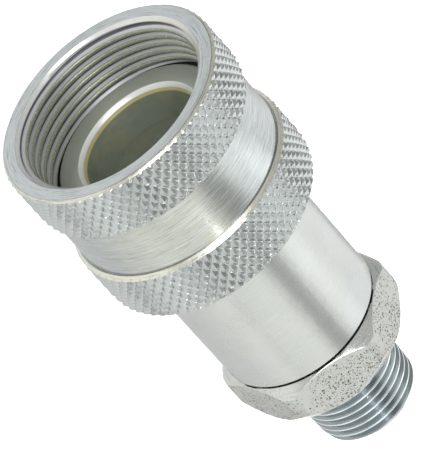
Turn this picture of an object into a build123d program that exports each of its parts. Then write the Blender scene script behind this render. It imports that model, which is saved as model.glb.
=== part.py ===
from build123d import *
import math
import os

# Female half of a screw-to-connect quick disconnect coupler, in millimetres.
# The flow axis is +X: X = 0 is the end face of the tapered pipe thread, and +X runs out of the mouth.

# ---- driving dimensions -------------------------------------------------------------------------

# stations along X, from the pipe thread's end to the mouth
hex_back_x = 13.0
hex_front_x = 20.75
body_back_x = 21.1
body_front_x = 64.0
collar_back_x = 45.3
mouth_x = 72.6

# coupling collar
knurl_r = 18.0
waist_r = 16.95
rim_outer_r = 17.37
rim_inner_r = 15.39
rim_bevel = 0.6
front_band_back_x = 63.7
rear_band_front_x = 54.5
band_bevel = 0.5
collar_bore_r = 13.03
collar_shoulder_x = 60.45
collar_bore_bevel = 0.5
thread_relief_r = 15.25

# collar thread, a 1 3/16-16 unified thread drawn as ring grooves
collar_pitch = 25.4 / 16
collar_minor_r = 14.2
collar_major_r = 15.06
collar_runout_r = 14.45
collar_turns = 6
first_crest_x = 71.3

# drag ring, a split wire ring in the collar's bore
drag_wire_d = 1.2
drag_ring_x = 50.0
drag_ring_r = 12.965
drag_groove_r = 14.55
drag_groove_w = 1.3
drag_ring_gap = 2.5

# socket body
body_r = 12.93
body_edge_bevel = 0.35
flange_r = 13.75
flange_back_x = 60.5
flange_bevel = 0.4
socket_r = 9.5
socket_mouth_r = 10.32
socket_mouth_depth = 1.05
socket_step_x = 57.7
socket_relief_r = 9.7
socket_floor_x = 49.0
seal_groove_front_x = 53.6
seal_groove_back_x = 49.6
seal_groove_r = 11.4
throat_r = 6.2
seat_front_x = 46.6
chamber_r = 9.2
guide_shoulder_x = 32.0
seal_bore_r = 10.02
body_thread_r = 10.78
body_thread_front_x = 25.3
snap_groove_back_x = 28.25
snap_groove_r = 10.75
snap_ring_float = 0.05

# socket seals
socket_oring_d = 2.5
backup_thickness = 1.3
seal_float = 0.05

# hex adapter
hex_flats = 26.1
hex_corner_r = 14.5
hex_front_bevel = 1.45
hex_back_bevel_x = 2.1
adapter_spigot_r = 10.75
adapter_nose_r = 10.0
adapter_nose_back_x = 25.2
adapter_nose_front_x = 28.2
adapter_bore_r = 5.5
adapter_mouth_r = 6.6
adapter_mouth_depth = 2.0
adapter_groove_back_x = 25.55
adapter_groove_front_x = 27.7
adapter_groove_r = 8.3
adapter_oring_d = 1.5
adapter_backup_thickness = 0.6

# 3/8-18 tapered pipe thread, drawn as ring grooves
pipe_pitch = 25.4 / 18
pipe_end_r = 8.337
pipe_taper = 1 / 32
pipe_depth = 0.95
pipe_flat = 0.12
pipe_end_bevel = 0.75
pipe_runout = 0.9

# poppet guide
guide_back_x = 29.5
guide_rim_r = 9.98
guide_rim_bore_r = 8.3
guide_hub_r = 4.2
guide_hub_back_x = 27.2
guide_spoke_w = 2.4
guide_spokes = 3

# guide snap ring
snap_ring_inner_r = 9.0
snap_ring_gap = 5.0
snap_ear_r = 1.5
snap_ear_hole_r = 0.6

# poppet
stem_r = 2.58
stem_clearance = 0.04
stem_back_x = 24.6
head_back_x = 43.0
head_r = 7.9
head_clearance = 0.15
head_front_x = 45.45
poppet_seal_d = 1.6
nose_flange_r = 5.9
nose_flange_front_x = 48.1
nose_seal_land_r = 4.5
nose_stud_r = 2.5
nose_stud_back_x = 43.6
nose_r = 3.6
nose_tip_x = 56.4
nose_tip_fillet = 1.4

# poppet spring
spring_wire_d = 1.2
spring_coil_r = 5.4
spring_turns = 3.75
spring_float = 0.05


# ---- shared geometry ----------------------------------------------------------------------------

def turned(*half_section):
    """A solid of revolution about X, from the (x, radius) corners of its closed half section."""
    return revolve(make_face(Polyline(*half_section, close=True)), Axis.X)


def rod(x0, x1, radius):
    """A plain cylinder on the axis from x0 to x1."""
    return turned((x0, 0), (x1, 0), (x1, radius), (x0, radius))


def ring(x0, x1, inner_r, outer_r):
    """A ring of rectangular section on the axis."""
    return turned((x0, inner_r), (x1, inner_r), (x1, outer_r), (x0, outer_r))


def round_ring(x, centre_r, wire_d):
    """A ring of round section, such as an O-ring, round the axis at x."""
    return Plane.YZ.offset(x) * Torus(centre_r, wire_d / 2)


def save(node, solid):
    """Write one sub-part to parts/NODE.step."""
    solid.label = node
    export_step(solid, f"parts/{node}.step")
    print(f"{node:22s} {solid.volume:10.1f} mm3")


# ---- collar and its drag ring -------------------------------------------------------------------

def collar_thread():
    """Corners of the internal thread's section, from its shallow run-out to the mouth."""
    crest_half = collar_pitch / 8
    corners = []
    for turn in reversed(range(collar_turns)):
        crest_x = first_crest_x - turn * collar_pitch
        crest_r = collar_runout_r if turn == collar_turns - 1 else collar_minor_r
        flank = (collar_major_r - crest_r) * math.tan(math.radians(30))
        corners += [
            (crest_x - crest_half - flank, collar_major_r),
            (crest_x - crest_half, crest_r),
            (crest_x + crest_half, crest_r),
            (crest_x + crest_half + flank, collar_major_r),
        ]
    return corners


def coupling_collar():
    relief_front_x = first_crest_x - (collar_turns - 0.5) * collar_pitch
    blank = turned(
        (collar_back_x, collar_bore_r + collar_bore_bevel),
        (collar_back_x + collar_bore_bevel, collar_bore_r),
        (collar_shoulder_x, collar_bore_r),
        (collar_shoulder_x, thread_relief_r),
        (relief_front_x - 0.1, thread_relief_r),
        *collar_thread(),
        (mouth_x, rim_inner_r),
        (mouth_x, rim_outer_r),
        (mouth_x - rim_bevel, knurl_r),
        (front_band_back_x + band_bevel, knurl_r),
        (front_band_back_x, knurl_r - band_bevel),
        (front_band_back_x, waist_r),
        (rear_band_front_x, waist_r),
        (rear_band_front_x, knurl_r - band_bevel),
        (rear_band_front_x - band_bevel, knurl_r),
        (collar_back_x + rim_bevel, knurl_r),
        (collar_back_x, knurl_r - rim_bevel),
    )
    half_groove = drag_groove_w / 2
    groove = ring(drag_ring_x - half_groove, drag_ring_x + half_groove, collar_bore_r - 1, drag_groove_r)
    return blank - groove


def collar_drag_ring():
    """A split ring of round wire that slides with the collar and lets the collar turn."""
    wire = round_ring(drag_ring_x, drag_ring_r + drag_wire_d / 2, drag_wire_d)
    gap = Pos(drag_ring_x, 0, -drag_ring_r) * Box(2 * drag_wire_d, drag_ring_gap, 3 * drag_wire_d)
    return wire - gap


# ---- socket body and its seals ------------------------------------------------------------------

def socket_body():
    seat_back_x = seat_front_x - (chamber_r - throat_r)
    blank = turned(
        (body_back_x, body_thread_r + body_edge_bevel),
        (body_back_x + body_edge_bevel, body_thread_r),
        (body_thread_front_x, body_thread_r),
        (body_thread_front_x, seal_bore_r),
        (guide_shoulder_x, seal_bore_r),
        (guide_shoulder_x, chamber_r),
        (seat_back_x, chamber_r),
        (seat_front_x, throat_r),
        (socket_floor_x, throat_r),
        (socket_floor_x, socket_relief_r),
        (socket_step_x, socket_relief_r),
        (socket_step_x, socket_r),
        (body_front_x - socket_mouth_depth, socket_r),
        (body_front_x, socket_mouth_r),
        (body_front_x, flange_r - flange_bevel),
        (body_front_x - flange_bevel, flange_r),
        (flange_back_x, flange_r),
        (flange_back_x, body_r),
        (body_back_x + body_edge_bevel, body_r),
        (body_back_x, body_r - body_edge_bevel),
    )
    snap_groove = ring(snap_groove_back_x, guide_back_x, seal_bore_r - 1, snap_groove_r)
    return blank - snap_groove - ring(seal_groove_back_x, seal_groove_front_x, socket_r - 1, seal_groove_r)


def socket_o_ring():
    x = seal_groove_front_x - seal_float - socket_oring_d / 2
    return round_ring(x, seal_groove_r - seal_float - socket_oring_d / 2, socket_oring_d)


def socket_backup_ring():
    back_x = seal_groove_back_x + seal_float
    return ring(back_x, back_x + backup_thickness, socket_r + seal_float, seal_groove_r - seal_float)


# ---- hex adapter and its seals ------------------------------------------------------------------

def pipe_thread():
    """The tapered pipe thread's solid, from its end face to inside the hex."""
    flank = pipe_depth * math.tan(math.radians(30))
    root_w = pipe_pitch - pipe_flat - 2 * flank
    outline = [(0, 0), (0, pipe_end_r - pipe_end_bevel)]
    x = pipe_end_bevel
    outline.append((x, pipe_end_r + pipe_taper * x))
    while x + pipe_pitch < hex_back_x - pipe_runout:
        crest_r = pipe_end_r + pipe_taper * x
        x_root = x + pipe_flat + flank
        outline += [
            (x + pipe_flat, crest_r + pipe_taper * pipe_flat),
            (x_root, crest_r - pipe_depth),
            (x_root + root_w, crest_r - pipe_depth + pipe_taper * root_w),
            (x + pipe_pitch, crest_r + pipe_taper * pipe_pitch),
        ]
        x += pipe_pitch
    end_r = pipe_end_r + pipe_taper * hex_back_x - pipe_depth / 2
    outline += [(x + pipe_flat, pipe_end_r + pipe_taper * (x + pipe_flat))]
    outline += [(x + pipe_flat + flank / 2, end_r), (hex_back_x + 1, end_r), (hex_back_x + 1, 0)]
    return turned(*outline)


def hex_head():
    """The wrench hex, with two flats facing up and down, turned to a round at its corners."""
    prism = extrude(Plane.YZ.offset(hex_back_x) * RegularPolygon(hex_flats / 2, 6, major_radius=False,
                                                                 rotation=0), hex_front_x - hex_back_x)
    face_r = hex_flats / 2 - 0.05
    envelope = turned(
        (hex_back_x, 0),
        (hex_back_x, face_r),
        (hex_back_x + hex_back_bevel_x, hex_corner_r),
        (hex_front_x - hex_front_bevel, hex_corner_r),
        (hex_front_x, face_r),
        (hex_front_x, 0),
    )
    return prism & envelope


def hex_adapter():
    spigot = turned(
        (hex_front_x - 1, 0),
        (hex_front_x - 1, adapter_spigot_r),
        (adapter_nose_back_x, adapter_spigot_r),
        (adapter_nose_back_x, adapter_nose_r),
        (adapter_groove_back_x, adapter_nose_r),
        (adapter_groove_back_x, adapter_groove_r),
        (adapter_groove_front_x, adapter_groove_r),
        (adapter_groove_front_x, adapter_nose_r),
        (adapter_nose_front_x, adapter_nose_r),
        (adapter_nose_front_x, 0),
    )
    mouth_back_x = adapter_nose_front_x - adapter_mouth_depth
    bore = turned(
        (-1, 0),
        (-1, adapter_bore_r),
        (mouth_back_x, adapter_bore_r),
        (mouth_back_x + adapter_mouth_r - adapter_bore_r, adapter_mouth_r),
        (adapter_nose_front_x + 1, adapter_mouth_r),
        (adapter_nose_front_x + 1, 0),
    )
    return pipe_thread() + hex_head() + spigot - bore


def adapter_o_ring():
    x = adapter_groove_back_x + seal_float + adapter_oring_d / 2
    return round_ring(x, adapter_groove_r + seal_float + adapter_oring_d / 2, adapter_oring_d)


def adapter_backup_ring():
    front_x = adapter_groove_front_x - seal_float / 2
    back_x = front_x - adapter_backup_thickness + seal_float
    return ring(back_x, front_x, adapter_groove_r + seal_float, adapter_nose_r - seal_float)


# ---- poppet valve -------------------------------------------------------------------------------

def poppet_guide():
    """The spider that carries the stem: a rim, a hub and spokes, with flow windows between them."""
    rim = ring(guide_back_x, guide_shoulder_x, guide_rim_bore_r, guide_rim_r)
    hub = rod(guide_hub_back_x, guide_shoulder_x, guide_hub_r)
    width = guide_shoulder_x - guide_back_x
    spoke_r = (guide_rim_bore_r + guide_rim_r) / 2
    guide = rim + hub
    for i in range(guide_spokes):
        spoke = Pos(guide_back_x + width / 2, 0, spoke_r / 2) * Box(width, guide_spoke_w, spoke_r)
        guide += Rot(i * 360 / guide_spokes, 0, 0) * spoke
    return guide - rod(guide_hub_back_x - 1, guide_shoulder_x + 1, stem_r + stem_clearance)


def guide_snap_ring():
    """An internal snap ring behind the guide, with two drilled ears beside its gap."""
    back_x = snap_groove_back_x + snap_ring_float
    front_x = guide_back_x - snap_ring_float
    clip = ring(back_x, front_x, snap_ring_inner_r, snap_groove_r - snap_ring_float)
    clip -= Pos((back_x + front_x) / 2, 0, snap_groove_r) * Box(10, snap_ring_gap, 8)
    ear_y = snap_ring_gap / 2 + snap_ear_r / 2
    ear_z = math.sqrt(snap_ring_inner_r ** 2 - ear_y ** 2) - snap_ear_r / 3
    for side in (-1, 1):
        centre = Pos(0, side * ear_y, ear_z)
        clip += centre * rod(back_x, front_x, snap_ear_r)
    for side in (-1, 1):
        clip -= Pos(0, side * ear_y, ear_z) * rod(back_x - 1, front_x + 1, snap_ear_hole_r)
    return clip


def valve_poppet():
    """The stem and the conical head, bored at the front for the nose's stud."""
    cone_back_x = seat_front_x + throat_r - head_clearance - head_r
    head_front_r = head_r - (head_front_x - cone_back_x)
    blank = turned(
        (stem_back_x, 0),
        (stem_back_x, stem_r - 0.4),
        (stem_back_x + 0.4, stem_r),
        (head_back_x, stem_r),
        (head_back_x, head_r),
        (cone_back_x, head_r),
        (head_front_x, head_front_r),
        (head_front_x, 0),
    )
    return blank - rod(nose_stud_back_x - 0.2, head_front_x + 1, nose_stud_r + 0.02)


def poppet_seal():
    """The soft ring that meets the seat, held between the head and the nose."""
    centre_x = head_front_x + 0.02 + poppet_seal_d / 2
    return round_ring(centre_x, nose_seal_land_r + 0.02 + poppet_seal_d / 2, poppet_seal_d)


def poppet_nose():
    """The screwed-in nose that the mating half pushes on."""
    flange_back_face_x = head_front_x + poppet_seal_d + 0.04
    blank = turned(
        (nose_stud_back_x, 0),
        (nose_stud_back_x, nose_stud_r),
        (head_front_x, nose_stud_r),
        (head_front_x, nose_seal_land_r),
        (flange_back_face_x, nose_seal_land_r),
        (flange_back_face_x, nose_flange_r),
        (nose_flange_front_x, nose_flange_r),
        (nose_flange_front_x + nose_flange_r - nose_r, nose_r),
        (nose_tip_x, nose_r),
        (nose_tip_x, 0),
    )
    tip_edge = blank.edges().filter_by(GeomType.CIRCLE).sort_by(Axis.X)[-1]
    return fillet(tip_edge, nose_tip_fillet)


def poppet_spring():
    """The closing spring, between the guide and the poppet's head."""
    back_x = guide_shoulder_x + spring_float + spring_wire_d / 2
    length = head_back_x - guide_shoulder_x - 2 * spring_float - spring_wire_d
    path = Helix(length / spring_turns, length, spring_coil_r)
    wire = sweep(Plane(path @ 0, z_dir=path % 0) * Circle(spring_wire_d / 2), path, is_frenet=True)
    return Pos(back_x, 0, 0) * Rot(0, 90, 0) * wire


# ---- the assembly -------------------------------------------------------------------------------

os.makedirs("parts", exist_ok=True)
for make in (
    coupling_collar,
    collar_drag_ring,
    socket_body,
    socket_o_ring,
    socket_backup_ring,
    hex_adapter,
    adapter_o_ring,
    adapter_backup_ring,
    poppet_guide,
    guide_snap_ring,
    valve_poppet,
    poppet_seal,
    poppet_nose,
    poppet_spring,
):
    save(make.__name__, make())
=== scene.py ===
import bpy
import bmesh
import math
from mathutils import Matrix, Vector


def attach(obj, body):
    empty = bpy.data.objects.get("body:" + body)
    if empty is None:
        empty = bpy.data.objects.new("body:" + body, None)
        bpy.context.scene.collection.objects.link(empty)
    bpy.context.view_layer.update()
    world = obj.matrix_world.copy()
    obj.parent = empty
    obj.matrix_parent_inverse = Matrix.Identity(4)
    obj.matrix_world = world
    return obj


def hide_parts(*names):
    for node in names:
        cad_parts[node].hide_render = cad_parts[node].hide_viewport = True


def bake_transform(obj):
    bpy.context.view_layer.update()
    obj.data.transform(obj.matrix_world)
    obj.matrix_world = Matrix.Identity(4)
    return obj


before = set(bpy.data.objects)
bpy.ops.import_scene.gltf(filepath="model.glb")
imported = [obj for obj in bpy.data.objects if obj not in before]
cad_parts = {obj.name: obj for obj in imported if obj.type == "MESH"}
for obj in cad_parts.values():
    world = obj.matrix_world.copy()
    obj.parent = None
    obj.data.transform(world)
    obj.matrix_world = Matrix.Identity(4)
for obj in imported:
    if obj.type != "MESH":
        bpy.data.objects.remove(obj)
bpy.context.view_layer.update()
mm = 0.001
tau = 2 * math.pi
scene = bpy.context.scene
print("frame loaded")


# a Field is a node's output that can be added, multiplied and so on
def plug(tree, value, socket):
    if isinstance(value, Field):
        tree.links.new(value.socket, socket)
    else:
        socket.default_value = value


def calc(tree, operation, *values):
    node = tree.nodes.new("ShaderNodeMath")
    node.operation = operation
    for value, socket in zip(values, node.inputs):
        plug(tree, value, socket)
    return Field(tree, node.outputs[0])


class Field:
    def __init__(self, tree, socket):
        self.tree = tree
        self.socket = socket

    def __add__(self, other):
        return calc(self.tree, "ADD", self, other)

    def __sub__(self, other):
        return calc(self.tree, "SUBTRACT", self, other)

    def __rsub__(self, other):
        return calc(self.tree, "SUBTRACT", other, self)

    def __mul__(self, other):
        return calc(self.tree, "MULTIPLY", self, other)

    def __truediv__(self, other):
        return calc(self.tree, "DIVIDE", self, other)

    def __mod__(self, other):
        return calc(self.tree, "FLOORED_MODULO", self, other)

    def floor(self):
        return calc(self.tree, "FLOOR", self)

    def size(self):
        return calc(self.tree, "ABSOLUTE", self)

    def least(self, other):
        return calc(self.tree, "MINIMUM", self, other)

    def most(self, other):
        return calc(self.tree, "MAXIMUM", self, other)

    def clamp(self, low, high):
        return self.most(low).least(high)

    def above(self, other):
        return calc(self.tree, "GREATER_THAN", self, other)

    def toward(self, other, share):
        return self + (other - self) * share


def addNode(tree, kind, inputs=(), **settings):
    node = tree.nodes.new(kind)
    for name, value in settings.items():
        setattr(node, name, value)
    for name, value in dict(inputs).items():
        plug(tree, value, node.inputs[name])
    return node


def out(node, name=0):
    return Field(node.id_data, node.outputs[name])


# Geometry Nodes: a tree starts with a geometry, its sizes and a material
def newTree(name, sizes):
    tree = bpy.data.node_groups.new(name, "GeometryNodeTree")
    tree.interface.new_socket("Geometry", in_out="INPUT", socket_type="NodeSocketGeometry")
    for label, value in sizes.items():
        kind = "NodeSocketInt" if isinstance(value, int) else "NodeSocketFloat"
        tree.interface.new_socket(label, in_out="INPUT", socket_type=kind).default_value = value
    tree.interface.new_socket("Material", in_out="INPUT", socket_type="NodeSocketMaterial")
    tree.interface.new_socket("Geometry", in_out="OUTPUT", socket_type="NodeSocketGeometry")
    return tree, tree.nodes.new("NodeGroupInput")


def finishTree(tree, source, geometry, sharpAngle):
    smooth = addNode(tree, "GeometryNodeSetShadeSmooth", {"Geometry": geometry}, domain="FACE")
    angle = out(addNode(tree, "GeometryNodeInputMeshEdgeAngle"), "Unsigned Angle")
    creased = addNode(tree, "GeometryNodeSetShadeSmooth", {
        "Geometry": out(smooth), "Selection": angle.above(sharpAngle), "Shade Smooth": False}, domain="EDGE")
    real = addNode(tree, "GeometryNodeRealizeInstances", {"Geometry": out(creased)})
    painted = addNode(tree, "GeometryNodeSetMaterial", {
        "Geometry": out(real), "Material": out(source, "Material")})
    plug(tree, out(painted), tree.nodes.new("NodeGroupOutput").inputs["Geometry"])


def runTree(tree, name, mesh, material, values):
    holder = bpy.data.objects.new(name + "Source", mesh)
    scene.collection.objects.link(holder)
    modifier = holder.modifiers.new(name, "NODES")
    modifier.node_group = tree
    values = dict(values, Material=material)
    for item in tree.interface.items_tree:
        if item.in_out == "INPUT" and item.name in values:
            modifier[item.identifier] = values[item.name]
    made = bpy.data.meshes.new_from_object(holder.evaluated_get(bpy.context.evaluated_depsgraph_get()))
    holder.modifiers.remove(modifier)
    bpy.data.objects.remove(holder)
    made.name = name
    return made


# a part turned about X from a profile whose rows may carry a helical thread, a diamond knurl or hex flats
def turnedTree():
    tree, source = newTree("turnedPart", {
        "Steps": 66,
        "Crowding": 0.12,
        "Knurl Depth": 0.55 * mm,
        "Knurl Land": 0.12,
        "Knurl Crest": 18 * mm,
        "Knurl Wear": 0.1 * mm,
        "Pitch": 1.5 * mm,
        "Start Turn": 0.0,
        "Taper": 0.0,
        "Low End": 0.0,
        "High End": 0.0,
        "Low Floor": 0.0,
        "High Floor": 0.0,
        "Low Ceiling": 1.0,
        "High Ceiling": 1.0,
        "Thread Wear": 0.0,
        "Hex Flats": 26.1 * mm,
        "Hex Corners": 14.5 * mm,
        "Sharp Angle": math.radians(25),
    })
    steps, crowding = out(source, "Steps"), out(source, "Crowding")
    splits = 4  # columns in each step
    peak = 0.97  # the pyramids' tips are cut off this high
    rows = out(addNode(tree, "GeometryNodeAttributeDomainSize", {"Geometry": out(source)}), "Point Count")
    grid = addNode(tree, "GeometryNodeMeshGrid", {"Vertices X": steps * splits + 1, "Vertices Y": rows})
    index = out(addNode(tree, "GeometryNodeInputIndex"))

    def sample(value, at, kind="FLOAT"):
        node = addNode(tree, "GeometryNodeSampleIndex", data_type=kind, domain="POINT")
        tree.links.new(source.outputs[0], node.inputs["Geometry"])
        plug(tree, value, node.inputs["Value"])
        plug(tree, at, node.inputs["Index"])
        return out(node)

    def mark(label, at):
        stored = addNode(tree, "GeometryNodeInputNamedAttribute", {"Name": label}, data_type="FLOAT")
        return sample(out(stored, "Attribute"), at)

    # columns crowd beside the creases of each step
    column = ((index + 0.5) / rows).floor()
    row = index - column * rows
    step = ((column + 0.5) / splits).floor()
    split = column - step * splits
    share = split.least(1) * crowding + (split - 1).clamp(0, 2) * (0.5 - crowding)
    stepsRound = step + share
    turn = stepsRound / steps
    angle = turn * tau

    place = addNode(tree, "ShaderNodeSeparateXYZ")
    plug(tree, sample(out(addNode(tree, "GeometryNodeInputPosition")), row, "FLOAT_VECTOR"), place.inputs[0])
    along, radius = out(place, "X"), out(place, "Y")

    # hex rows take the flats' radius, and lean to follow a chamfer's edge
    hexed = mark("hex", row)
    fromFlat = ((turn * 6 % 1) - 0.5) * (tau / 6)
    hexRadius = out(source, "Hex Flats") / 2 / calc(tree, "COSINE", fromFlat)
    hexRadius = hexRadius.least(out(source, "Hex Corners"))
    hexRadius = hexRadius - mark("inset", row)
    along = along + mark("lean", row) * (hexRadius - radius) * hexed
    radius = radius.toward(hexRadius, hexed)

    # thread rows climb along the helix and gather at both ends
    threaded = mark("thread", row)
    low, high = out(source, "Low End"), out(source, "High End")
    climbed = (along + (turn + out(source, "Start Turn")) * out(source, "Pitch")).clamp(low, high)
    along = along.toward(climbed, threaded)
    wave = addNode(tree, "ShaderNodeTexNoise", {"Scale": 900.0, "Detail": 2.0})
    floor = (out(source, "Low Floor") - (along - low)).most(out(source, "High Floor") - (high - along))
    ceiling = (out(source, "Low Ceiling") + (along - low)).least(out(source, "High Ceiling") + (high - along))
    tapered = radius + along * out(source, "Taper") * threaded
    spot = addNode(tree, "ShaderNodeCombineXYZ", {
        "X": along, "Y": calc(tree, "COSINE", angle) * radius, "Z": calc(tree, "SINE", angle) * radius})
    plug(tree, out(spot), wave.inputs["Vector"])
    tapered = tapered + (out(wave, 0) - 0.5) * out(source, "Thread Wear") * threaded
    bounded = tapered.most(floor).least(ceiling)
    radius = radius.toward(bounded, threaded)

    # knurl: the lower of two crossing ramps, worn a little at the peaks
    knurlRow = mark("knurl", row)
    land = out(source, "Knurl Land")
    rampA = 1 - (((stepsRound + knurlRow) / 2 % 1) * 2 - 1).size()
    rampB = 1 - (((stepsRound - knurlRow) / 2 % 1) * 2 - 1).size()
    height = rampA.least(rampB).clamp(land, peak)
    patch = addNode(tree, "ShaderNodeCombineXYZ", {
        "X": (stepsRound + 0.5).floor() % steps, "Y": (knurlRow + 0.5).floor()})
    worn = addNode(tree, "ShaderNodeTexWhiteNoise", noise_dimensions="2D")
    plug(tree, out(patch), worn.inputs["Vector"])
    crest = out(source, "Knurl Crest") - out(source, "Knurl Depth") * (peak - height)
    crest = crest - out(worn, 0) * out(source, "Knurl Wear") * height * height
    radius = radius.toward(radius.least(crest), knurlRow.above(-0.5))

    position = addNode(tree, "ShaderNodeCombineXYZ", {
        "X": along, "Y": calc(tree, "COSINE", angle) * radius, "Z": calc(tree, "SINE", angle) * radius})

    # the knurl's cells are cut along their valleys
    faceRows = rows - 1
    faceColumn = ((index + 0.5) / faceRows).floor()
    faceRow = index - faceColumn * faceRows
    faceKnurl = mark("knurl", faceRow)
    odd = (((faceColumn + 0.5) / splits).floor() + (faceKnurl + 0.01).floor()) % 2
    first = addNode(tree, "GeometryNodeTriangulate", {
        "Mesh": out(grid, "Mesh"), "Selection": faceKnurl.above(-0.5) * (1 - odd)}, quad_method="FIXED")
    second = addNode(tree, "GeometryNodeTriangulate", {"Mesh": out(first)}, quad_method="FIXED_ALTERNATE")
    moved = addNode(tree, "GeometryNodeSetPosition", {"Geometry": out(second), "Position": out(position)})
    welded = addNode(tree, "GeometryNodeMergeByDistance", {"Geometry": out(moved), "Distance": 0.002 * mm})
    finishTree(tree, source, out(welded), out(source, "Sharp Angle"))
    return tree


turnedPart = turnedTree()


# profile rows are (x, radius, kind, value, inset) in millimetres, and a plain row has no kind;
# eased() makes plain rows from corners (x, radius, rounding)
def eased(*corners, edge=0.08, cuts=3):
    rows = []
    count = len(corners)
    for i, corner in enumerate(corners):
        x, r = corner[:2]
        size = corner[2] if len(corner) > 2 else edge
        if i in (0, count - 1) or size == 0:
            rows.append((x, r))
            continue
        here = Vector((x, r))
        back = Vector(corners[i - 1][:2]) - here
        ahead = Vector(corners[i + 1][:2]) - here
        size = min(size, 0.45 * back.length, 0.45 * ahead.length)
        start, end = here + back.normalized() * size, here + ahead.normalized() * size
        for k in range(cuts + 1):
            t = k / cuts
            point = start * (1 - t) ** 2 + here * (2 * t * (1 - t)) + end * t ** 2
            rows.append((point.x, point.y))
    return rows


def turnPart(name, rows, material, values=(), closed=True):
    rows = list(rows)
    if closed:
        rows.append(rows[0])
    mesh = bpy.data.meshes.new(name + "Profile")
    edges = [(i, i + 1) for i in range(len(rows) - 1)]
    mesh.from_pydata([(row[0] * mm, row[1] * mm, 0) for row in rows], edges, [])
    marks = {"thread": [], "knurl": [], "hex": [], "lean": [], "inset": []}
    for row in rows:
        kind, value, inset = (*row[2:], 0, 0)[:3] if len(row) > 2 else ("plain", 0, 0)
        marks["thread"].append(1.0 if kind == "thread" else 0.0)
        marks["knurl"].append(float(value) if kind == "knurl" else -1.0)
        marks["hex"].append(1.0 if kind == "hex" else 0.0)
        marks["lean"].append(float(value) if kind == "hex" else 0.0)
        marks["inset"].append(float(inset) * mm)
    for label, numbers in marks.items():
        mesh.attributes.new(label, "FLOAT", "POINT").data.foreach_set("value", numbers)
    made = runTree(turnedPart, name, mesh, material, dict(values))
    shell = bmesh.new()
    shell.from_mesh(made)
    if shell.calc_volume(signed=True) < 0:
        bmesh.ops.reverse_faces(shell, faces=shell.faces)
    shell.to_mesh(made)
    shell.free()
    piece = bpy.data.objects.new(name, made)
    scene.collection.objects.link(piece)
    print(name, len(made.polygons), "faces")
    return piece


# shader helpers: places are in millimetres about the X axis
class Place:
    def __init__(self, tree):
        self.tree = tree
        coords = tree.nodes.new("ShaderNodeTexCoord")
        split = tree.nodes.new("ShaderNodeSeparateXYZ")
        tree.links.new(coords.outputs["Object"], split.inputs[0])
        self.x, self.y, self.z = (out(split, axis) / mm for axis in "XYZ")
        self.radius = calc(tree, "SQRT", self.y * self.y + self.z * self.z)
        self.cos, self.sin = self.y / self.radius, self.z / self.radius
        facing = tree.nodes.new("ShaderNodeSeparateXYZ")
        tree.links.new(coords.outputs["Normal"], facing.inputs[0])
        self.facingX = out(facing, "X")
        self.facingOut = out(facing, "Y") * self.cos + out(facing, "Z") * self.sin

    def vector(self, x, y, z):
        return out(addNode(self.tree, "ShaderNodeCombineXYZ", {"X": x, "Y": y, "Z": z}))

    def noise(self, vector, detail, roughness=0.5, w=None):
        node = addNode(self.tree, "ShaderNodeTexNoise", {
            "Vector": vector, "Scale": 1.0, "Detail": detail, "Roughness": roughness},
            noise_dimensions="3D" if w is None else "4D")
        if w is not None:
            plug(self.tree, w, node.inputs["W"])
        return out(node, 0)

    def spots(self, scale, detail=2.0):
        return self.noise(self.vector(self.x * scale, self.y * scale, self.z * scale), detail)

    # round specks: a share of the cells set by density
    def specks(self, scale, density):
        cells = addNode(self.tree, "ShaderNodeTexVoronoi", {
            "Vector": self.vector(self.x, self.y, self.z), "Scale": scale})
        pick = addNode(self.tree, "ShaderNodeSeparateXYZ")
        self.tree.links.new(cells.outputs["Color"], pick.inputs[0])
        size = out(pick, "Y") * 0.26 + 0.18
        dot = 1 - ramp(out(cells, "Distance") - size, -0.04, 0.04)
        return dot * ramp(density - out(pick, "X"), -0.02, 0.02)

    # noise in thin rings about the axis: finer across the rings than along them
    def rings(self, width, length, detail=3.0):
        around = self.vector(self.x / width, self.cos * length, self.sin * length)
        return self.noise(around, detail, 0.6, self.radius / width)

    def between(self, low, high, soft=0.1):
        return ramp(self.x, low - soft, low + soft) * (1 - ramp(self.x, high - soft, high + soft))


def ramp(value, low, high):
    # 0 below low, 1 above high, smooth between
    node = addNode(value.tree, "ShaderNodeMapRange", {
        "Value": value, "From Min": low, "From Max": high}, interpolation_type="SMOOTHSTEP")
    return out(node)


def blendColour(tree, share, first, second):
    node = tree.nodes.new("ShaderNodeMix")
    node.data_type = "RGBA"
    # inputs 6 and 7 and output 2 are a Mix node's colours
    for value, socket in ((share, node.inputs[0]), (first, node.inputs[6]), (second, node.inputs[7])):
        plug(tree, (*value, 1) if isinstance(value, tuple) else value, socket)
    return Field(tree, node.outputs[2])


def newMaterial(name):
    material = bpy.data.materials.new(name)
    material.use_nodes = True
    tree = material.node_tree
    return material, tree, Place(tree), tree.nodes["Principled BSDF"]


def bump(tree, height, distance):
    return out(addNode(tree, "ShaderNodeBump", {"Height": height, "Distance": distance * mm}))


# the gloss stretches across the turning marks, which run round the axis
def grooveTangent(tree, place):
    around = place.vector(0, place.sin * -1, place.cos)
    turned = addNode(tree, "ShaderNodeVectorTransform", {"Vector": around},
                     vector_type="VECTOR", convert_from="OBJECT", convert_to="WORLD")
    return out(turned)


def scaled(tint, share):
    return tuple(min(1.0, share * c) for c in tint)


def paint(tree, surface, share, tint):
    surface["colour"] = blendColour(tree, share, surface["colour"], tint)


# plated steel with turning marks round the axis; zones() changes the finish and paints light and shade where
# the piece needs it
class FinishAndLight:
    def __init__(self, tint, roughness, anisotropy, markWidth, markLength, marks, markRelief, grain,
                 zones=None, paintedSheen=0.0):
        self.tint, self.roughness, self.anisotropy = tint, roughness, anisotropy
        self.markWidth, self.markLength, self.marks = markWidth, markLength, marks
        self.markRelief, self.grain, self.zones, self.paintedSheen = markRelief, grain, zones, paintedSheen


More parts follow.
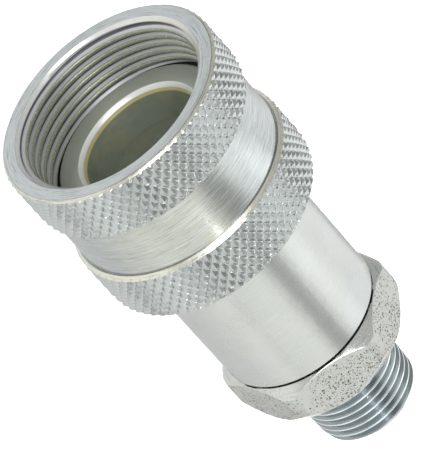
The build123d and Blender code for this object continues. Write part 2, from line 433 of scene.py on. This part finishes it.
def platedSteel(name, finishAndLight):
    material, tree, place, shader = newMaterial(name)
    fine = place.rings(finishAndLight.markWidth, finishAndLight.markLength)
    broad = place.rings(3.2 * finishAndLight.markWidth, 0.6 * finishAndLight.markLength, 2.0)
    cloud = place.spots(0.16, 3.0)
    grain = place.spots(5.0)
    # the zones add to these; cloud * 0 makes a plain number one of them
    surface = {
        "colour": blendColour(tree, ramp(cloud, 0.38, 0.62) * 0.5, finishAndLight.tint, scaled(finishAndLight.tint, 0.9)),
        "rough": (cloud - 0.5) * 0.12 + (grain - 0.5) * 0.1 + finishAndLight.roughness,
        "metal": cloud * 0 + 1,
        "marks": cloud * 0 + 1,
        "height": cloud * 0,
    }
    sheenSide = ramp(place.cos * 0.94 + place.sin * 0.34, 0.70, 1.0) * finishAndLight.paintedSheen  # painted sheen: one side is tinted yellower
    paint(tree, surface, sheenSide, tuple(c * k for c, k in zip(finishAndLight.tint, (1.06, 1.03, 0.92))))
    if finishAndLight.zones:
        finishAndLight.zones(tree, place, surface)
    # fine dark marks, broad light ones, and a rougher gloss on the broad ones
    dark = ramp(fine, 0.55, 0.64) * finishAndLight.marks * 0.42 * surface["marks"]
    light = ramp(broad, 0.52, 0.62) * finishAndLight.marks * 0.35 * surface["marks"]
    paint(tree, surface, dark, scaled(finishAndLight.tint, 0.45))
    paint(tree, surface, light, scaled(finishAndLight.tint, 1.3))
    rough = surface["rough"] + (broad - 0.5) * 0.25 * finishAndLight.marks * surface["marks"]
    height = (fine + broad * 0.8) * finishAndLight.markRelief * surface["marks"]
    height = height + grain * finishAndLight.grain + surface["height"]
    plug(tree, surface["colour"], shader.inputs["Base Color"])
    plug(tree, rough.clamp(0.08, 0.9), shader.inputs["Roughness"])
    plug(tree, surface["metal"], shader.inputs["Metallic"])
    plug(tree, bump(tree, height, 0.01), shader.inputs["Normal"])
    plug(tree, grooveTangent(tree, place), shader.inputs["Tangent"])
    shader.inputs["Anisotropic"].default_value = finishAndLight.anisotropy
    shader.inputs["Anisotropic Rotation"].default_value = 0.25
    return material


collarTints = {
    "facet": (0.53, 0.555, 0.545), "valleyHighlight": (0.72, 0.75, 0.74), "rim": (0.78, 0.815, 0.825),
    "bevelHighlight": (0.95, 0.94, 0.80), "mouth": (0.70, 0.71, 0.72), "countersinkHighlight": (0.88, 0.89, 0.86),
    "threadStart": (0.70, 0.66, 0.38), "rootShade": (0.15, 0.15, 0.17), "crest": (0.33, 0.35, 0.225),
    "crestGlint": (0.90, 0.90, 0.84),
}


def collarZones(tree, place, surface):
    tints = collarTints
    bands = place.between(63.6, 72.1).most(place.between(45.6, 54.1))
    outside = ramp(place.radius, 17.2, 17.3)
    facet = (1 - ramp(place.facingOut, 0.80, 0.90)) * bands * outside * ramp(place.radius, 17.0, 17.2)
    # painted highlight: the valley floors between the pyramids are painted lighter
    valleyHighlight = facet * (1 - ramp(place.radius, 17.42, 17.50))
    rim = ramp(place.facingX, 0.95, 0.98) * ramp(place.x, 72.4, 72.5)
    # painted highlight: the bands' edge bevels are painted bright and a little yellow
    bevelHighlight = ramp(place.facingX, 0.55, 0.68) * (1 - ramp(place.facingX, 0.78, 0.86))
    bevelHighlight = bevelHighlight * ramp(place.radius, 17.2, 17.25)
    paint(tree, surface, facet, tints["facet"])
    paint(tree, surface, valleyHighlight * 0.8, tints["valleyHighlight"])
    paint(tree, surface, rim, tints["rim"])
    paint(tree, surface, bevelHighlight, tints["bevelHighlight"])
    # in the mouth the plating is duller and painted lighter, a painted reflection: olive on the thread's
    # crests, painted shade at its roots
    inside = (1 - ramp(place.radius, 15.40, 15.50)) * ramp(place.x, 60.6, 60.9)
    # painted highlight: the countersink at the mouth is painted near white
    countersinkHighlight = ramp(place.facingX, 0.3, 0.5) * ramp(place.x, 71.8, 72.0) * inside
    threadStart = ramp(place.x, 71.85, 71.95) * (1 - ramp(place.radius, 14.85, 14.98)) * inside
    # painted shade: the thread's roots are painted dark
    rootShade = ramp(place.radius, 14.80, 14.92) * (1 - ramp(place.x, 71.85, 71.95)) * inside
    crest = (1 - ramp(place.radius, 14.34, 14.54)) * inside
    # painted glints: random light specks on the thread's crests
    crestGlint = ramp(place.spots(5.0), 0.58, 0.66) * (1 - ramp(place.radius, 14.22, 14.6)) * inside
    paint(tree, surface, inside, tints["mouth"])
    paint(tree, surface, countersinkHighlight, tints["countersinkHighlight"])
    paint(tree, surface, threadStart, tints["threadStart"])
    paint(tree, surface, rootShade, tints["rootShade"])
    paint(tree, surface, crest * 0.9, tints["crest"])
    paint(tree, surface, crestGlint * 0.7, tints["crestGlint"])
    surface["rough"] = surface["rough"] + inside * 0.16 - facet * 0.10
    surface["metal"] = surface["metal"] - inside * 0.35
    surface["marks"] = surface["marks"] * (1 - facet * 0.8) * (1 - inside * 0.7)
    surface["height"] = place.spots(4.5, 3.0) * crest * 3.0 + place.spots(1.3) * facet * 5.0


bodyTints = {
    "cream": (0.58, 0.58, 0.535), "face": (0.62, 0.66, 0.58), "chamferHighlight": (0.92, 0.91, 0.86),
    "boreDeepLit": (0.66, 0.72, 0.58), "boreFrontShade": (0.34, 0.39, 0.31), "boreOlive": (0.50, 0.48, 0.30),
    "boreGrey": (0.26, 0.30, 0.28), "stepHighlight": (0.62, 0.62, 0.55), "ringEdge": (0.52, 0.43, 0.16),
}


def bodyZones(tree, place, surface):
    tints = bodyTints
    outside = ramp(place.radius, 12.4, 12.6)
    cream = ramp(place.spots(0.11, 2.0), 0.42, 0.58) * outside
    inside = (1 - ramp(place.radius, 9.75, 9.9)) * ramp(place.x, 47.0, 49.0)
    face = ramp(place.x, 63.5, 63.9) * (1 - inside)
    # the lead-in at the bore's mouth is painted near white, a painted highlight, with a brassy line at its
    # inner edge
    nearMouth = ramp(place.x, 62.7, 62.9)
    chamferHighlight = (1 - ramp(place.radius, 10.28, 10.36)) * ramp(place.radius, 9.5, 9.6) * nearMouth
    ringEdge = ramp(place.radius, 9.46, 9.52) * (1 - ramp(place.radius, 9.62, 9.78)) * nearMouth
    # painted highlight: a thin light ring where the bore steps
    stepHighlight = place.between(57.62, 57.8, 0.04) * inside
    # painted light and shade: the bore is painted lighter deep inside and darker towards the mouth, with
    # olive and grey patches
    bore = blendColour(tree, ramp(place.x, 50.0, 62.0), tints["boreDeepLit"], tints["boreFrontShade"])
    bore = blendColour(tree, ramp(place.spots(0.22), 0.45, 0.62) * 0.5, bore, tints["boreOlive"])
    bore = blendColour(tree, ramp(place.spots(0.30, 3.0), 0.50, 0.64) * 0.4, bore, tints["boreGrey"])
    paint(tree, surface, cream * 0.4, tints["cream"])
    paint(tree, surface, face * 0.8, tints["face"])
    paint(tree, surface, chamferHighlight, tints["chamferHighlight"])
    paint(tree, surface, inside, bore)
    paint(tree, surface, stepHighlight, tints["stepHighlight"])
    paint(tree, surface, ringEdge, tints["ringEdge"])
    surface["rough"] = surface["rough"] + inside * 0.12 + face * 0.08 + chamferHighlight * 0.1
    surface["metal"] = surface["metal"] - inside * 0.65 - face * 0.3 - chamferHighlight * 0.5
    surface["marks"] = surface["marks"] + face * 0.8
    surface["height"] = place.spots(0.55, 3.0) * 3.0 * outside


adapterTints = {
    "hex": (0.80, 0.81, 0.76), "flat": (0.50, 0.505, 0.475), "stain": (0.38, 0.36, 0.30),
    "crest": (0.78, 0.82, 0.84), "speck": (0.07, 0.055, 0.04),
}


def adapterZones(tree, place, surface):
    tints = adapterTints
    onHex = place.between(12.95, 20.8, 0.05)
    flat = onHex * (1 - ramp(place.facingX.size(), 0.15, 0.35))
    face = ramp(place.facingX.size(), 0.9, 0.97)
    stain = ramp(place.spots(0.35, 3.0), 0.52, 0.66) * flat
    thread = 1 - ramp(place.x, 12.8, 12.95)
    depth = place.radius - place.x / 32  # the thread tapers by 1 in 32 on the radius
    crest = ramp(depth, 8.20, 8.30) * thread
    # specks in patches, thickest near the pipe thread
    density = ramp(place.spots(0.20), 0.38, 0.58) * 0.5 + (1 - ramp(place.x, 13.5, 18.0)) * 0.4 + 0.06
    specks = place.specks(2.6, density).most(place.specks(5.0, density)) * onHex * (flat * 0.8 + 0.2)
    paint(tree, surface, onHex, tints["hex"])
    paint(tree, surface, flat, tints["flat"])
    paint(tree, surface, stain * 0.2, tints["stain"])
    paint(tree, surface, crest, tints["crest"])
    paint(tree, surface, specks * 0.9, tints["speck"])
    surface["rough"] = surface["rough"] + flat * 0.14 + specks * 0.2 - crest * 0.05
    surface["metal"] = surface["metal"] - specks * 0.7 - flat * 0.15
    surface["marks"] = surface["marks"] * (1 - flat) + onHex * (1 - flat) * (1 - face)
    surface["height"] = place.spots(2.2, 3.0) * 4.0 * flat - specks * 3.0


def softMaterial(name, tint, roughness, grainSize, relief, coat=0.0):
    material, tree, place, shader = newMaterial(name)
    grain = place.spots(1 / grainSize, 4.0)
    cloud = place.spots(0.3)
    colour = blendColour(tree, ramp(cloud, 0.3, 0.7) * 0.5, tint, scaled(tint, 0.75))
    plug(tree, colour, shader.inputs["Base Color"])
    plug(tree, (grain - 0.5) * 0.2 + roughness, shader.inputs["Roughness"])
    plug(tree, bump(tree, grain, relief), shader.inputs["Normal"])
    shader.inputs["Coat Weight"].default_value = coat
    return material


collarSteel = platedSteel("collarSteel", FinishAndLight(
    tint=(0.475, 0.50, 0.495), roughness=0.22, anisotropy=0.50, markWidth=0.09, markLength=5.0,
    marks=1.6, markRelief=1.8, grain=0.3, zones=collarZones, paintedSheen=1.0))
bodySteel = platedSteel("bodySteel", FinishAndLight(
    tint=(0.55, 0.57, 0.56), roughness=0.25, anisotropy=0.35, markWidth=0.10, markLength=7.0,
    marks=0.22, markRelief=0.2, grain=0.05, zones=bodyZones, paintedSheen=0.35))
adapterSteel = platedSteel("adapterSteel", FinishAndLight(
    tint=(0.395, 0.44, 0.455), roughness=0.17, anisotropy=0.2, markWidth=0.14, markLength=5.0,
    marks=0.5, markRelief=0.5, grain=0.3, zones=adapterZones))
valveSteel = platedSteel("valveSteel", FinishAndLight(
    tint=(0.50, 0.51, 0.50), roughness=0.24, anisotropy=0.4, markWidth=0.08, markLength=6.0,
    marks=0.7, markRelief=0.7, grain=0.3))
springSteel = platedSteel("springSteel", FinishAndLight(
    tint=(0.26, 0.27, 0.28), roughness=0.32, anisotropy=0.0, markWidth=0.2, markLength=3.0,
    marks=0.2, markRelief=0.2, grain=0.8))
nitrile = softMaterial("nitrile", (0.022, 0.022, 0.023), 0.42, 0.25, 0.01)
ptfe = softMaterial("ptfe", (0.80, 0.80, 0.76), 0.45, 0.4, 0.008)
urethane = softMaterial("urethane", (0.32, 0.13, 0.04), 0.35, 0.4, 0.006, 0.2)
print("materials made")


# coupling collar
collar = {
    "backX": 45.3, "mouthX": 72.6, "knurlR": 18.0, "waistR": 16.95, "rimOuterR": 17.37, "rimInnerR": 15.48,
    "rimBevel": 0.62, "frontBandBackX": 63.7, "rearBandFrontX": 54.5, "bandBevel": 0.5, "rearFrontBevel": 0.8,
    "frontLip": 0.38, "rearLip": 0.6, "boreR": 13.03,
    "shoulderX": 60.45, "reliefR": 15.25, "grooveX": (49.35, 50.65), "grooveR": 14.55,
    "knurlStarts": 66, "knurlHalfPitch": 1.047, "knurlDepth": 0.64, "land": 0.09,
    "pitch": 25.4 / 16, "crestX": 70.89, "minorR": 14.2, "majorR": 15.06,
    "threadLowX": 62.4, "threadAngle": -141.0, "threadWear": 0.05,
}


def knurlBand(sizes, frontX, backX, frontBevel, backBevel, frontR, backR, lip):
    # rows of one band, from its front edge to its back edge; the knurl starts behind a plain lip
    half = sizes["knurlHalfPitch"]
    start = 0.5
    end = start + (frontX - backX) / half
    closest = 0.03  # rows nearer than this are left out
    places = []
    for cell in range(int((frontX - backX) / half) + 2):
        places += [cell + share for share in (0, sizes["land"], 0.5, 1 - sizes["land"])]
    # finer rows where the bevels cut the pyramids
    places += [start + 0.1 * i for i in range(1, 6)] + [end - 0.1 * i for i in range(1, 6)]
    places = sorted({round(p, 4) for p in places if start < p < end})
    places = [p for i, p in enumerate(places) if i == 0 or p - places[i - 1] > closest]
    places = [start] + places + [end]
    lipR = frontR + lip * (sizes["knurlR"] - frontR) / frontBevel
    rows = [(frontX, frontR), (frontX - lip + 0.02, lipR)]
    for p in places:
        x = frontX - (p - start) * half
        if x > frontX - lip:
            continue
        front = frontR + (frontX - x) * (sizes["knurlR"] - frontR) / frontBevel
        back = backR + (x - backX) * (sizes["knurlR"] - backR) / backBevel
        rows.append((x, min(sizes["knurlR"], front, back), "knurl", p))
    return rows


def threadRows(lowX, highX, pitch, crestX, shape):
    # profile rows over the thread and one pitch more, which the helix takes up
    rows = []
    first = math.floor((lowX - crestX) / pitch) - 2
    last = math.ceil((highX - crestX) / pitch) + 1
    for k in range(first, last + 1):
        rows += [(crestX + k * pitch + offset, radius, "thread", 0) for offset, radius in shape]
    return rows


def collarRows(c):
    # one turn of the thread: offsets along X from the crest's middle, and radii
    turn = [(-0.24, c["minorR"] + 0.07), (-0.12, c["minorR"]), (0.12, c["minorR"]),
            (0.24, c["minorR"] + 0.07), (0.68, c["majorR"] - 0.04), (0.79, c["majorR"]),
            (0.9075, c["majorR"] - 0.04)]
    rear, rearFront = c["knurlR"] - c["bandBevel"], c["knurlR"] - c["rearFrontBevel"]
    outside = [(c["mouthX"], c["rimInnerR"]), (c["mouthX"], c["rimOuterR"] - 0.05)]
    outside += knurlBand(c, c["mouthX"] - 0.03, c["frontBandBackX"], c["rimBevel"], c["bandBevel"],
                         c["rimOuterR"] + 0.02, rear, c["frontLip"])
    outside += eased((c["frontBandBackX"], rear - 0.1), (c["frontBandBackX"], c["waistR"], 0.2),
                     (c["rearBandFrontX"], c["waistR"], 0.04), (c["rearBandFrontX"], rearFront - 0.03))
    outside += knurlBand(c, c["rearBandFrontX"], c["backX"], c["rearFrontBevel"], c["rimBevel"], rearFront,
                         c["knurlR"] - c["rimBevel"], c["rearLip"])
    grooveBack, grooveFront = c["grooveX"]
    inside = eased((c["backX"], c["knurlR"] - c["rimBevel"] - 0.1), (c["backX"], c["boreR"] + 0.5),
                   (c["backX"] + 0.5, c["boreR"]), (grooveBack, c["boreR"], 0),
                   (grooveBack, c["grooveR"], 0), (grooveFront, c["grooveR"], 0),
                   (grooveFront, c["boreR"], 0), (c["shoulderX"], c["boreR"], 0.1),
                   (c["shoulderX"], c["reliefR"], 0.15), (c["threadLowX"], c["reliefR"]), cuts=2)
    inside += threadRows(c["threadLowX"], c["mouthX"], c["pitch"], c["crestX"], turn)
    return outside + inside


couplingCollar = turnPart("couplingCollar", collarRows(collar), collarSteel, {
    "Steps": 2 * collar["knurlStarts"], "Crowding": collar["land"], "Knurl Land": collar["land"],
    "Knurl Depth": collar["knurlDepth"] * mm, "Knurl Crest": collar["knurlR"] * mm,
    "Pitch": collar["pitch"] * mm, "Start Turn": -collar["threadAngle"] / 360,
    "Low End": collar["threadLowX"] * mm, "High End": collar["mouthX"] * mm,
    "Low Floor": collar["reliefR"] * mm, "High Floor": collar["rimInnerR"] * mm,
    "Thread Wear": collar["threadWear"] * mm})
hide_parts("coupling_collar")
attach(couplingCollar, "collar")
print("collar made")


# socket body
body = {
    "backX": 21.1, "frontX": 64.0, "outerR": 12.93, "edge": 0.15,
    "flangeR": 13.75, "flangeBackX": 60.5, "flangeBevel": 0.4, "faceR": 11.8,
    "socketR": 9.5, "mouthR": 10.32, "mouthDepth": 1.05, "stepX": 57.7, "reliefR": 9.7, "floorX": 49.0,
    "grooveX": (49.6, 53.6), "grooveR": 11.4,
    "throatR": 6.2, "seatX": 46.6, "chamberR": 9.2, "guideX": 32.0, "sealBoreR": 10.02, "threadR": 10.78,
    "threadFrontX": 25.3, "snapX": (28.25, 29.5), "snapR": 10.75,
}


def bodyRows(b):
    return eased(
        (b["frontX"], b["faceR"]), (b["frontX"], b["flangeR"] - b["flangeBevel"]),
        (b["frontX"] - b["flangeBevel"], b["flangeR"]),
        (b["flangeBackX"], b["flangeR"]), (b["flangeBackX"], b["outerR"], 0.2),
        (b["backX"] + b["edge"], b["outerR"], 0.12), (b["backX"], b["outerR"] - b["edge"]),
        (b["backX"], b["threadR"] + b["edge"]), (b["backX"] + b["edge"], b["threadR"]),
        (b["threadFrontX"], b["threadR"]), (b["threadFrontX"], b["sealBoreR"]),
        (b["snapX"][0], b["sealBoreR"], 0), (b["snapX"][0], b["snapR"], 0), (b["snapX"][1], b["snapR"], 0),
        (b["snapX"][1], b["sealBoreR"], 0), (b["guideX"], b["sealBoreR"], 0), (b["guideX"], b["chamberR"]),
        (b["seatX"] - b["chamberR"] + b["throatR"], b["chamberR"], 0.3), (b["seatX"], b["throatR"]),
        (b["floorX"], b["throatR"]), (b["floorX"], b["reliefR"], 0.2),
        (b["grooveX"][0], b["reliefR"]), (b["grooveX"][0], b["grooveR"]), (b["grooveX"][1], b["grooveR"]),
        (b["grooveX"][1], b["reliefR"]), (b["stepX"], b["reliefR"]), (b["stepX"], b["socketR"]),
        (b["frontX"] - b["mouthDepth"], b["socketR"], 0.05),
        (b["frontX"], b["mouthR"], 0.1), (b["frontX"], b["faceR"]))


socketBody = turnPart("socketBody", bodyRows(body), bodySteel, closed=False)
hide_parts("socket_body")
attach(socketBody, "valve_body")
print("body made")


# hex adapter with its tapered pipe thread
adapter = {
    "flats": 26.1, "cornerR": 14.5, "backX": 13.0, "frontX": 20.75, "faceR": 13.0,
    "backLean": 1.4, "frontLean": 1.45 / 1.5, "backRingR": 11.5, "steps": 72,
    "boreR": 5.5, "boreBevel": 0.25, "mouthR": 6.6,
    "spigotR": 10.75, "noseR": 10.0, "noseX": (25.2, 28.2), "grooveX": (25.55, 27.7), "grooveR": 8.3,
    "pitch": 25.4 / 18, "endR": 8.337, "depth": 0.95, "chamferR": 7.36, "shankR": 8.75,
    "taper": 1 / 32, "firstCrestX": 0.8, "threadWear": 0.03,
}


def adapterRows(a):
    def hexRow(x, lean, inset):
        return (x, a["faceR"], "hex", lean, inset)

    rootR = a["endR"] - a["depth"]
    turn = [(-0.12, a["endR"] - 0.04), (0.0, a["endR"]), (0.12, a["endR"] - 0.04),
            (0.60, rootR + 0.04), (0.7055, rootR), (0.811, rootR + 0.04)]
    rows = [(0, a["boreR"] + a["boreBevel"]), (0, a["chamferR"] - 0.1), (0, a["chamferR"])]
    rows += threadRows(0, a["backX"], a["pitch"], a["firstCrestX"], turn)
    rows += [(a["backX"], a["shankR"]), (a["backX"], a["shankR"] + 0.05), (a["backX"], a["backRingR"]),
             (a["backX"], a["faceR"] - 0.15)]
    corner = ((0.0, 0.09), (0.01, 0.03), (0.05, 0.0), (0.12, 0.0))  # rounds both ends of the hex a little
    rows += [hexRow(a["backX"] + away, a["backLean"], inset) for away, inset in corner]
    rows += [hexRow(a["frontX"] - away, -a["frontLean"], inset) for away, inset in reversed(corner)]
    (noseBack, noseFront), (grooveBack, grooveFront) = a["noseX"], a["grooveX"]
    rows += eased((a["frontX"], a["faceR"] - 0.15), (a["frontX"], a["spigotR"], 0.15),
                  (noseBack, a["spigotR"]), (noseBack, a["noseR"]),
                  (grooveBack, a["noseR"]), (grooveBack, a["grooveR"]),
                  (grooveFront, a["grooveR"]), (grooveFront, a["noseR"]), (noseFront, a["noseR"]),
                  (noseFront, a["mouthR"]), (noseFront - 0.9, a["mouthR"]),
                  (noseFront - 2.0, a["boreR"], 0.3), (a["boreBevel"], a["boreR"]), cuts=2)
    return rows


# a column falls where each flat meets the rounded corner
cornerAngle = math.degrees(math.acos(adapter["flats"] / 2 / adapter["cornerR"]))
hexAdapter = turnPart("hexAdapter", adapterRows(adapter), adapterSteel, {
    "Steps": adapter["steps"], "Crowding": 1 - (30 - cornerAngle) / (360 / adapter["steps"]),
    "Hex Flats": adapter["flats"] * mm, "Hex Corners": adapter["cornerR"] * mm,
    "Pitch": adapter["pitch"] * mm, "Taper": adapter["taper"],
    "Low End": 0.0, "High End": adapter["backX"] * mm,
    "Low Ceiling": adapter["chamferR"] * mm, "High Floor": adapter["shankR"] * mm,
    "Thread Wear": adapter["threadWear"] * mm})
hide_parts("hex_adapter")
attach(hexAdapter, "valve_body")
print("adapter made")


# seals and valve pieces
def ringRows(x, centreR, thickness, cuts=24):
    # a round section
    angles = [tau * k / cuts for k in range(cuts)]
    return [(x + math.cos(a) * thickness / 2, centreR + math.sin(a) * thickness / 2) for a in angles]


def bandRows(backX, frontX, innerR, outerR, edge=0.06):
    # a flat section
    middle = (innerR + outerR) / 2
    return eased((frontX, middle), (frontX, outerR), (backX, outerR), (backX, innerR), (frontX, innerR),
                 (frontX, middle), edge=edge, cuts=2)[:-1]


seals = {
    "socketORing": ("socket_o_ring", "valve_body", nitrile, "nitrile", ringRows(52.3, 10.1, 2.5)),
    "socketBackupRing": (
        "socket_backup_ring", "valve_body", ptfe, "ptfe", bandRows(49.65, 50.95, 9.55, 11.35)),
    "adapterORing": ("adapter_o_ring", "valve_body", nitrile, "nitrile", ringRows(26.35, 9.1, 1.5)),
    "adapterBackupRing": (
        "adapter_backup_ring", "valve_body", ptfe, "ptfe", bandRows(27.125, 27.675, 8.35, 9.95)),
    "poppetSeal": ("poppet_seal", "poppet", urethane, "urethane", ringRows(46.27, 5.32, 1.6)),
}
for name, (node, rider, material, slot, rows) in seals.items():
    piece = turnPart(name, rows, material)
    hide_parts(node)
    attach(piece, rider)
print("seals made")

# the poppet's cone lies against the body's seat, less a small gap
poppet = {
    "stemX": (24.6, 42.0), "stemR": 2.58, "stemBevel": 0.4, "headX": (43.0, 45.45), "headR": 7.9,
    "coneGap": 0.15, "holeX": 43.4, "holeR": 2.52,
}
(stemBackX, stemFrontX), (headBackX, headFrontX) = poppet["stemX"], poppet["headX"]
coneBackX = body["seatX"] + body["throatR"] - poppet["coneGap"] - poppet["headR"]
headFrontR = poppet["headR"] - (headFrontX - coneBackX)
stemRows = eased(
    (stemBackX, 0), (stemBackX, poppet["stemR"] - poppet["stemBevel"]),
    (stemBackX + poppet["stemBevel"], poppet["stemR"]), (stemFrontX, poppet["stemR"], 0.05),
    (headBackX, poppet["stemR"], 0.3), (headBackX, poppet["headR"], 0.15), (coneBackX, poppet["headR"]),
    (headFrontX, headFrontR), (headFrontX, poppet["holeR"]), (poppet["holeX"], poppet["holeR"], 0),
    (poppet["holeX"], 0))
valvePoppet = turnPart("valvePoppet", stemRows, valveSteel, {"Steps": 24}, closed=False)
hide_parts("valve_poppet")
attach(valvePoppet, "poppet")

nose = {
    "shankX": 43.6, "shankR": 2.5, "backX": 45.45, "seatX": 47.09, "seatR": 4.5,
    "skirtX": 48.1, "skirtR": 5.9,
    "stemX": 50.4, "stemR": 3.6, "grooveX": (52.2, 52.45), "grooveR": 3.52, "tipX": 56.4, "tipFillet": 1.4,
    "dimpleX": 56.1, "dimpleR": (0.9, 1.2),
}


def noseRows(n):
    grooveBack, grooveFront = n["grooveX"]
    return eased(
        (n["shankX"], 0), (n["shankX"], n["shankR"]), (n["backX"], n["shankR"], 0), (n["backX"], n["seatR"]),
        (n["seatX"], n["seatR"], 0), (n["seatX"], n["skirtR"]), (n["skirtX"], n["skirtR"], 0.15),
        (n["stemX"], n["stemR"], 0.6), (grooveBack, n["stemR"], 0), (grooveBack + 0.05, n["grooveR"], 0),
        (grooveFront - 0.05, n["grooveR"], 0), (grooveFront, n["stemR"], 0),
        (n["tipX"], n["stemR"], n["tipFillet"]), (n["tipX"], n["dimpleR"][1], 0),
        (n["dimpleX"], n["dimpleR"][0], 0.1), (n["dimpleX"], 0), cuts=5)


poppetNose = turnPart("poppetNose", noseRows(nose), valveSteel, {"Steps": 24}, closed=False)
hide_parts("poppet_nose")
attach(poppetNose, "poppet")
print("poppet made")


# closing spring: an evenly wound helix
spring = {"backX": 32.65, "frontX": 42.35, "coilR": 5.4, "wire": 1.2, "turns": 3.75, "points": 150}


def springTree():
    tree, source = newTree("coilSpring", {
        "Length": 10 * mm, "Coil Radius": 5 * mm, "Wire": 1 * mm, "Turns": 4.0, "Points": 120,
        "Sharp Angle": math.radians(50)})
    line = addNode(tree, "GeometryNodeCurvePrimitiveLine", {"Start": (0, 0, 0), "End": (1, 0, 0)})
    points = addNode(tree, "GeometryNodeResampleCurve", {"Curve": out(line), "Count": out(source, "Points")})
    share = out(addNode(tree, "GeometryNodeSplineParameter"), "Factor")
    turn = share * out(source, "Turns") * tau
    place = addNode(tree, "ShaderNodeCombineXYZ", {
        "X": share * out(source, "Length"), "Y": calc(tree, "COSINE", turn) * out(source, "Coil Radius"),
        "Z": calc(tree, "SINE", turn) * out(source, "Coil Radius")})
    wound = addNode(tree, "GeometryNodeSetPosition", {"Geometry": out(points), "Position": out(place)})
    section = addNode(tree, "GeometryNodeCurvePrimitiveCircle", {
        "Resolution": 20, "Radius": out(source, "Wire") / 2})
    wire = addNode(tree, "GeometryNodeCurveToMesh", {
        "Curve": out(wound), "Profile Curve": out(section), "Fill Caps": True})
    finishTree(tree, source, out(wire), out(source, "Sharp Angle"))
    return tree


springMesh = runTree(springTree(), "poppetSpring", bpy.data.meshes.new("springSeed"), springSteel, {
    "Length": (spring["frontX"] - spring["backX"]) * mm, "Coil Radius": spring["coilR"] * mm,
    "Wire": spring["wire"] * mm, "Turns": spring["turns"], "Points": spring["points"]})
springMesh.transform(Matrix.Translation((spring["backX"] * mm, 0, 0)))
poppetSpring = bpy.data.objects.new("poppetSpring", springMesh)
scene.collection.objects.link(poppetSpring)
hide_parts("poppet_spring")
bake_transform(poppetSpring)
print("spring made")

# pieces that keep their CAD shape
keptNodes = {"collar_drag_ring": springSteel, "guide_snap_ring": springSteel, "poppet_guide": valveSteel}
for node, material in keptNodes.items():
    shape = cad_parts[node]
    shape.data.materials.clear()
    shape.data.materials.append(material)

# camera
view = {"place": (0.451628, 0.428398, 0.328055), "along": (-0.60269, -0.63308, -0.48578),
        "right": (-0.52930, -0.13841, 0.83707), "up": (0.59716, -0.76161, 0.25167), "lens": 375.2}
camera = bpy.data.objects.new("camera", bpy.data.cameras.new("camera"))
scene.collection.objects.link(camera)
turnTo = Matrix([view["right"], view["up"], [-c for c in view["along"]]]).transposed()
camera.matrix_world = Matrix.Translation(view["place"]) @ turnTo.to_4x4()
camera.data.lens = view["lens"]
camera.data.sensor_width = 36
camera.data.clip_start = 0.01
scene.camera = camera

# studio: a pale floor far below, a soft sky and soft lights
studio = {"floorZ": -0.35, "floorSize": 2.2, "floorTint": 0.72}
floorMesh = bpy.data.meshes.new("floor")
reach, level = studio["floorSize"], studio["floorZ"]
floorMesh.from_pydata([(-reach, -reach, level), (reach, -reach, level), (reach, reach, level),
                       (-reach, reach, level)], [], [(0, 1, 2, 3)])
floor = bpy.data.objects.new("floor", floorMesh)
scene.collection.objects.link(floor)
floorPaint = bpy.data.materials.new("paleFloor")
floorPaint.use_nodes = True
floorShader = floorPaint.node_tree.nodes["Principled BSDF"]
floorShader.inputs["Base Color"].default_value = (studio["floorTint"],) * 3 + (1,)
floorShader.inputs["Roughness"].default_value = 0.9
floorShader.inputs["Specular IOR Level"].default_value = 0.0
floorMesh.materials.append(floorPaint)

# the sky's brightness by angle round X, from +Y towards +Z, in degrees
skyAngles = (
    (-180, 1.12), (-150, 1.0), (-60, 1.0), (-10, 1.14), (10, 1.2), (32, 1.22), (48, 0.92), (62, 0.56),
    (74, 0.82), (86, 1.36), (104, 1.48), (120, 1.24), (156, 1.24), (180, 1.12))
world = bpy.data.worlds.new("studioSky")
world.use_nodes = True
scene.world = world
sky = world.node_tree
coords = sky.nodes.new("ShaderNodeTexCoord")
split = sky.nodes.new("ShaderNodeSeparateXYZ")
sky.links.new(coords.outputs["Generated"], split.inputs[0])
aroundX = calc(sky, "ARCTAN2", out(split, "Z"), out(split, "Y")) / tau + 0.5
curve = sky.nodes.new("ShaderNodeFloatCurve")
plug(sky, aroundX, curve.inputs["Value"])
line = curve.mapping.curves[0]
line.points[0].location = (0, skyAngles[0][1] / 2)
line.points[1].location = (1, skyAngles[-1][1] / 2)
for angle, strength in skyAngles[1:-1]:
    line.points.new((angle + 180) / 360, strength / 2)
curve.mapping.update()
# the sky is dimmer on the mouth's side, apart from one broad glow
front = out(split, "X") * 0.46 + out(split, "Y") * 0.76 + out(split, "Z") * 0.46
glow = ramp(front, 0.66, 0.92) * 0.6
dim = 1 - ramp(out(split, "X"), -0.3, 0.1) * 0.65
background = sky.nodes["Background"]
plug(sky, out(curve, "Value") * 2 * dim + glow, background.inputs["Strength"])
background.inputs["Color"].default_value = (0.985, 1.0, 1.0, 1)

# name, place, width in metres, watts
lamps = (
    ("frontLamp", (0.72, 0.60, 0.47), 0.70, 3.6),
    ("topLamp", (-0.35, -0.30, 0.75), 0.40, 0.2),
)
for name, spot, width, power in lamps:
    lamp = bpy.data.objects.new(name, bpy.data.lights.new(name, "AREA"))
    lamp.data.shape = "DISK"
    lamp.data.size = width
    lamp.data.energy = power
    lamp.location = spot
    lamp.rotation_euler = (Vector((0.04, 0, 0)) - Vector(spot)).to_track_quat("-Z", "Y").to_euler()
    lamp.visible_camera = False
    scene.collection.objects.link(lamp)

# spots on the floor: name, place, target, cone in degrees, watts
spots = (
    ("backLamp", (-0.52, -0.62, 0.45), (-0.44, -0.51, -0.35), 42, 36),
    ("sideLamp", (-0.75, 0.75, 1.20), (-0.50, 0.50, -0.35), 50, 34),
    ("farLamp", (-0.90, 2.20, 1.60), (-0.95, 1.50, -0.35), 85, 150),
)
for name, spot, target, cone, power in spots:
    lamp = bpy.data.objects.new(name, bpy.data.lights.new(name, "SPOT"))
    lamp.data.energy, lamp.data.spot_size, lamp.data.spot_blend = power, math.radians(cone), 0.9
    lamp.location = spot
    lamp.rotation_euler = (Vector(target) - Vector(spot)).to_track_quat("-Z", "Y").to_euler()
    scene.collection.objects.link(lamp)
scene.view_settings.view_transform = "Standard"
print("studio made")
